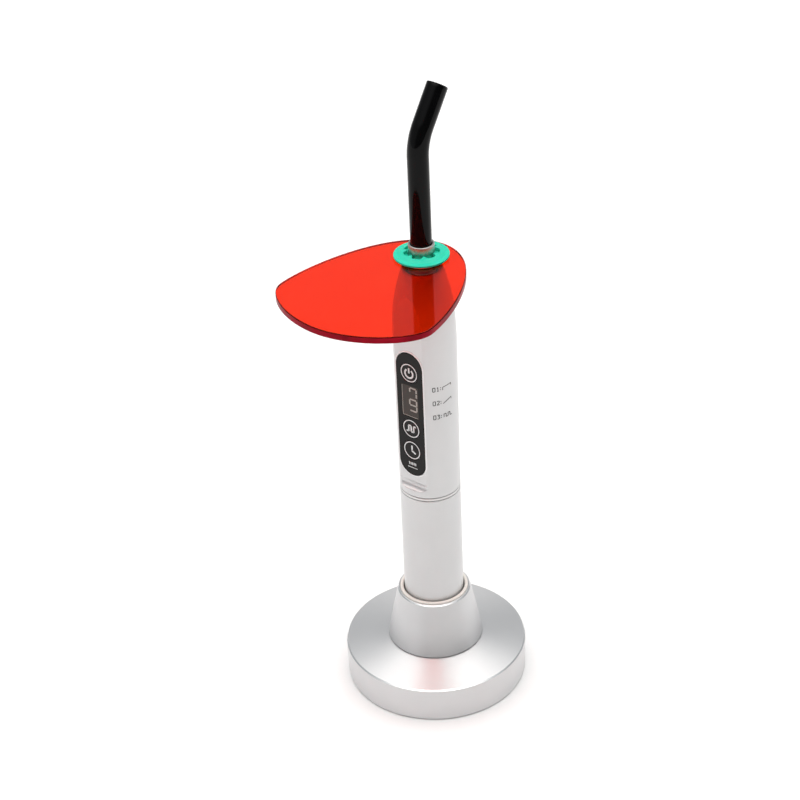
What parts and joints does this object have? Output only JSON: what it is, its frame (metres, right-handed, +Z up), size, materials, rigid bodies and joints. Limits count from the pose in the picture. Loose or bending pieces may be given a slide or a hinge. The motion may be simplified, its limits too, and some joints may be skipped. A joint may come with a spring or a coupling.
{
  "type": "dental curing light",
  "caption": "Slim cordless curing light with a bent light guide and an orange eye shield, upright in its round charging base.",
  "frame": {"origin": "centre of the foot pad's underside, on the table", "axes": "+Z up along the handpiece; the control panel faces -Y; +X is the object's right seen from in front of the panel"},
  "size_m": [0.0742, 0.1005, 0.2582],
  "materials": {
    "satin_aluminium": "bead-blasted and clear anodised, satin",
    "pearl_paint": "thin aluminium under fine pearl lacquer, satin",
    "cream_plastic": "moulded, semi-matte",
    "black_rubber": "matte",
    "black_plastic": "moulded, matte",
    "natural_plastic": "moulded, matte",
    "panel_black": "printed from behind, glossy",
    "smoked_window": "smoked, glossy",
    "circuit_board": "solder mask, semi-gloss",
    "cell_wrap": "shrink-wrapped steel can, semi-gloss",
    "steel": "turned and polished",
    "brass": "plated, polished",
    "coated_glass": "fused fibre rod in glossy black cladding",
    "mint_silicone": "satin silicone",
    "orange_acrylic": "transparent orange, polished",
    "wire_insulation": "semi-matte"
  },
  "bodies": {
    "base": {"base_shell": "satin_aluminium", "socket_collar": "satin_aluminium", "socket_liner": "cream_plastic", "contact_block": "black_plastic", "bottom_cover": "black_plastic", "cover_screw_1": "steel", "cover_screw_2": "steel", "cover_screw_3": "steel", "foot_pad": "black_rubber", "base_weight": "steel", "charging_board": "circuit_board", "power_jack": "black_plastic", "jack_wire_left": "wire_insulation", "jack_wire_right": "wire_insulation"},
    "centre_pin": {"contact_pin_centre": "brass"},
    "ring_pin": {"contact_pin_ring": "brass"},
    "tail_contact": {"tail_ring_contact": "brass"},
    "lower_handpiece": {"battery_tube": "pearl_paint", "tail_cap": "black_plastic", "tail_centre_contact": "brass", "battery_spring": "steel", "battery_cell": "cell_wrap", "battery_sleeve": "natural_plastic", "tube_seal": "black_rubber"},
    "trim_ring": {"joint_ring": "satin_aluminium"},
    "handle": {"handle_shell": "pearl_paint", "control_panel": "panel_black", "display_window": "smoked_window", "display_module": "black_plastic", "switch_power": "black_plastic", "switch_mode": "black_plastic", "switch_time": "black_plastic", "control_board": "circuit_board", "board_screw_lower": "steel", "board_screw_upper": "steel", "buzzer": "black_plastic", "control_chip": "black_plastic", "contact_carrier": "natural_plastic", "battery_contact": "brass", "heat_sink": "satin_aluminium", "led_board": "natural_plastic", "led_emitter": "natural_plastic", "reflector_cup": "steel", "guide_socket": "steel", "socket_seal": "black_rubber", "led_wire_left": "wire_insulation", "led_wire_right": "wire_insulation"},
    "power_key": {"button_power": "panel_black"},
    "mode_key": {"button_mode": "panel_black"},
    "time_key": {"button_time": "panel_black"},
    "ferrule": {"guide_ferrule": "steel"},
    "guide": {"light_guide": "coated_glass"},
    "silicone_ring": {"shield_ring": "mint_silicone"},
    "eye_shield": {"shield_plate": "orange_acrylic"}
  },
  "joints": [
    {"name": "centre_pin_press", "type": "slide", "parent": "base", "child": "centre_pin", "axis": [0, 0, 1], "range_m": [-0.001, 0], "stiffness_N_per_m": 150},
    {"name": "ring_pin_press", "type": "slide", "parent": "base", "child": "ring_pin", "axis": [0, 0, 1], "range_m": [-0.001, 0], "stiffness_N_per_m": 150},
    {"name": "handpiece_lift", "type": "slide", "parent": "base", "child": "tail_contact", "axis": [0, 0, 1], "range_m": [0, 0.05]},
    {"name": "handpiece_turn", "type": "hinge", "parent": "tail_contact", "child": "lower_handpiece", "pos_m": [0, 0, 0.012], "axis": [0, 0, 1], "continuous": true},
    {"name": "handle_unscrew", "type": "hinge", "parent": "lower_handpiece", "child": "trim_ring", "pos_m": [0, 0, 0.09], "axis": [0, 0, 1], "range_deg": [0, 1080]},
    {"name": "handle_rise", "type": "slide", "parent": "trim_ring", "child": "handle", "axis": [0, 0, 1], "range_m": [0, 0.003]},
    {"name": "power_key_press", "type": "slide", "parent": "handle", "child": "power_key", "axis": [0, 1, 0], "range_m": [0, 0.0004], "stiffness_N_per_m": 400},
    {"name": "mode_key_press", "type": "slide", "parent": "handle", "child": "mode_key", "axis": [0, 1, 0], "range_m": [0, 0.0004], "stiffness_N_per_m": 400},
    {"name": "time_key_press", "type": "slide", "parent": "handle", "child": "time_key", "axis": [0, 1, 0], "range_m": [0, 0.0004], "stiffness_N_per_m": 400},
    {"name": "guide_pull", "type": "slide", "parent": "handle", "child": "ferrule", "axis": [0, 0, 1], "range_m": [0, 0.016]},
    {"name": "guide_turn", "type": "hinge", "parent": "ferrule", "child": "guide", "pos_m": [0, 0, 0.19], "axis": [0, 0, 1], "continuous": true},
    {"name": "ring_slide", "type": "slide", "parent": "ferrule", "child": "silicone_ring", "axis": [0, 0, 1], "range_m": [-0.0023, 0.03]},
    {"name": "shield_turn", "type": "hinge", "parent": "silicone_ring", "child": "eye_shield", "pos_m": [0, 0, 0.191], "axis": [0, 0, 1], "continuous": true}
  ],
  "couplings": [
    {"joint": "handle_unscrew", "follows": "handle_rise", "rad_per_m": 6283}
  ]
}
